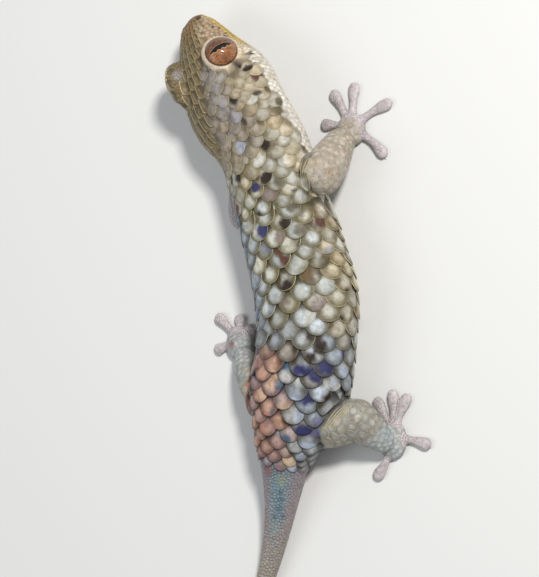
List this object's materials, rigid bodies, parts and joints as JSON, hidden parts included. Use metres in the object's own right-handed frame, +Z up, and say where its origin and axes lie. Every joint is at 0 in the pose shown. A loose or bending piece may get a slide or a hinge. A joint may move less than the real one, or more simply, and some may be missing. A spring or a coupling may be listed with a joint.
{
  "type": "fish-scale gecko",
  "caption": "Life-size still model of a fish-scale gecko clinging low, body bent in a gentle curve, with large overlapping scales and a smooth tapering tail.",
  "frame": {"origin": "middle of the outer box in plan, on the floor that the belly and feet rest on", "axes": "+Y towards the head end, +X to the animal's right, +Z up"},
  "size_m": [0.044, 0.1008, 0.0116],
  "materials": {
    "head_skin": "small olive-brown scales with thin cream edges, satin",
    "eye": "copper iris with a dark slit under a clear wet cornea",
    "body_scales": "large overlapping grey-green scales, slightly glossy, with pale rims",
    "tail_skin": "fine granular skin, satin",
    "leg_skin": "small overlapping scales, satin",
    "foot_skin": "pale pinkish granular skin, satin",
    "claw": "dark horn, glossy"
  },
  "bodies": {
    "root": {"head": "head_skin", "eye_right": "eye", "eye_left": "eye", "neck": "body_scales", "torso": "body_scales", "tail_base": "tail_skin", "tail_middle": "tail_skin", "tail_tip": "tail_skin", "foreleg_right_upper": "leg_skin", "foreleg_right_lower": "leg_skin", "hand_right": "foot_skin", "foreleg_left_upper": "leg_skin", "foreleg_left_lower": "leg_skin", "hand_left": "foot_skin", "hindleg_right_thigh": "leg_skin", "hindleg_right_shin": "leg_skin", "foot_right": "foot_skin", "hindleg_left_thigh": "leg_skin", "hindleg_left_shin": "leg_skin", "foot_left": "foot_skin"}
  },
  "joints": []
}
